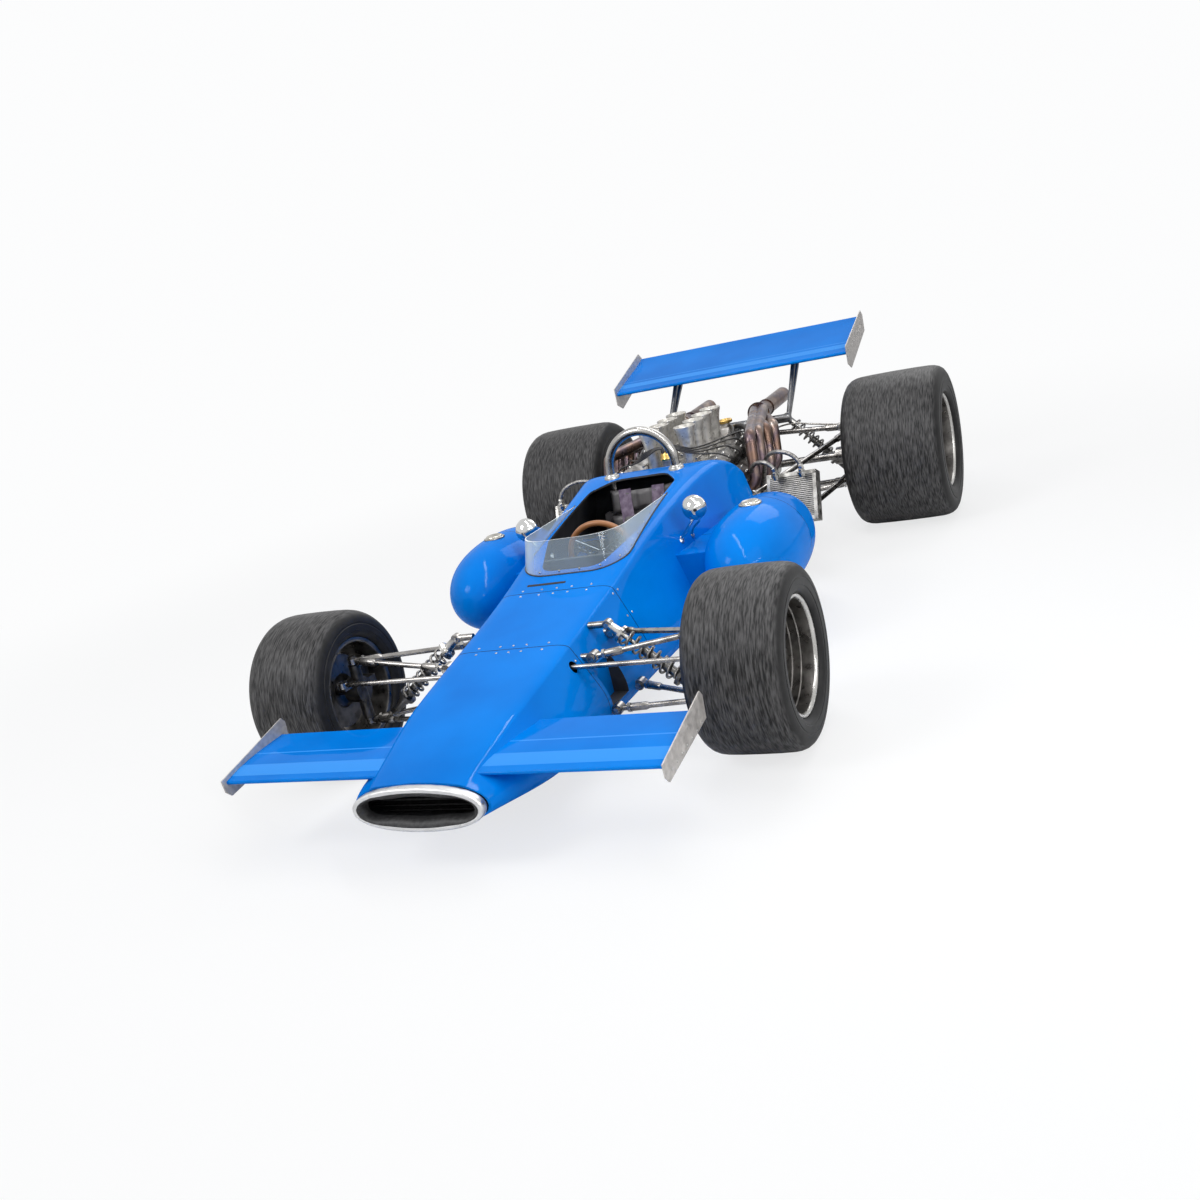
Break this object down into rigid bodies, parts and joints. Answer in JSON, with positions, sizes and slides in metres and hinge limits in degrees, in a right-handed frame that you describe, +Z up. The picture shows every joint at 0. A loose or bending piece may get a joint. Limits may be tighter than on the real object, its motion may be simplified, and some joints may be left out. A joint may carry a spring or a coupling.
{
  "type": "open wheel racing car",
  "caption": "Single seat open wheel racing car with wide slick tyres, slim body with nose duct, front and rear wings, side tanks and an exposed rear engine.",
  "frame": {"origin": "on the ground, below the middle of the car's bounding box", "axes": "-Y towards the nose, +X to the driver's left, +Z up"},
  "size_m": [2.03, 3.74, 0.9064],
  "materials": {
    "blue_paint": "high gloss blue paint",
    "polished_metal": "polished tube and trim",
    "chromed_metal": "bright plate",
    "plate_metal": "brushed sheet with small rivets",
    "cast_metal": "cast and oily, dull",
    "machined_metal": "turned and polished",
    "heat_tinted_steel": "heat tinted, bronze and grey",
    "damper_metal": "oily steel with bright rods",
    "dark_core": "finned core, dark",
    "clear_screen": "clear acrylic sheet",
    "black_leather": "black, stitched",
    "belt_webbing": "purple grey webbing",
    "dash_black": "satin black with dials",
    "wheel_leather": "tan brown rim on bright spokes",
    "tyre_rubber": "wide slick, scuffed tread",
    "bright_rim": "machined lip, dark cast centre"
  },
  "bodies": {
    "chassis": {"nose_cone": "blue_paint", "nose_ring": "polished_metal", "radiator": "dark_core", "tub": "blue_paint", "scuttle_panel": "blue_paint", "cockpit_cowl": "blue_paint", "windscreen": "clear_screen", "seat": "black_leather", "harness": "belt_webbing", "dashboard": "dash_black", "roll_hoop": "polished_metal", "mirrors": "chromed_metal", "filler_caps": "chromed_metal", "side_tanks": "blue_paint", "front_wings": "blue_paint", "front_end_plates": "plate_metal", "engine_block": "cast_metal", "cylinder_heads": "cast_metal", "intake_trumpets": "machined_metal", "exhausts": "heat_tinted_steel", "gearbox": "cast_metal", "rear_crossbeam": "machined_metal", "rear_wing": "blue_paint", "rear_end_plates": "plate_metal", "wing_struts": "polished_metal", "front_wishbones": "polished_metal", "front_dampers": "damper_metal", "rear_uprights": "cast_metal", "rear_links": "polished_metal", "rear_dampers": "damper_metal", "oil_coolers": "dark_core"},
    "knuckle_left": {"knuckle_left": "cast_metal"},
    "knuckle_right": {"knuckle_right": "cast_metal"},
    "wheel_front_left": {"tyre_front_left": "tyre_rubber", "rim_front_left": "bright_rim"},
    "wheel_front_right": {"tyre_front_right": "tyre_rubber", "rim_front_right": "bright_rim"},
    "wheel_rear_left": {"tyre_rear_left": "tyre_rubber", "rim_rear_left": "bright_rim", "driveshaft_left": "machined_metal"},
    "wheel_rear_right": {"tyre_rear_right": "tyre_rubber", "rim_rear_right": "bright_rim", "driveshaft_right": "machined_metal"},
    "steering_wheel": {"steering_wheel": "wheel_leather"},
    "steering_rack": {"steering_rack": "polished_metal"}
  },
  "joints": [
    {"name": "steer_left", "type": "hinge", "parent": "chassis", "child": "knuckle_left", "pos_m": [0.65, -1.11, 0.28], "axis": [0, 0, 1], "range_deg": [-18, 18]},
    {"name": "steer_right", "type": "hinge", "parent": "chassis", "child": "knuckle_right", "pos_m": [-0.65, -1.11, 0.28], "axis": [0, 0, 1], "range_deg": [-18, 18]},
    {"name": "spin_front_left", "type": "hinge", "parent": "knuckle_left", "child": "wheel_front_left", "pos_m": [0.78, -1.11, 0.28], "axis": [1, 0, 0], "continuous": true},
    {"name": "spin_rear_left", "type": "hinge", "parent": "chassis", "child": "wheel_rear_left", "pos_m": [0.8, 1.31, 0.335], "axis": [1, 0, 0], "continuous": true},
    {"name": "spin_front_right", "type": "hinge", "parent": "knuckle_right", "child": "wheel_front_right", "pos_m": [-0.78, -1.11, 0.28], "axis": [1, 0, 0], "continuous": true},
    {"name": "spin_rear_right", "type": "hinge", "parent": "chassis", "child": "wheel_rear_right", "pos_m": [-0.8, 1.31, 0.335], "axis": [1, 0, 0], "continuous": true},
    {"name": "turn_steering_wheel", "type": "hinge", "parent": "chassis", "child": "steering_wheel", "pos_m": [0, -0.34, 0.44], "axis": [0, 0.9939, 0.1106], "range_deg": [-144, 144]},
    {"name": "move_rack", "type": "slide", "parent": "chassis", "child": "steering_rack", "axis": [1, 0, 0], "range_m": [-0.0283, 0.0283]}
  ],
  "couplings": [
    {"joint": "steer_right", "follows": "steer_left", "ratio": 1},
    {"joint": "turn_steering_wheel", "follows": "steer_left", "ratio": 8},
    {"joint": "move_rack", "follows": "steer_left", "m_per_rad": 0.09}
  ]
}
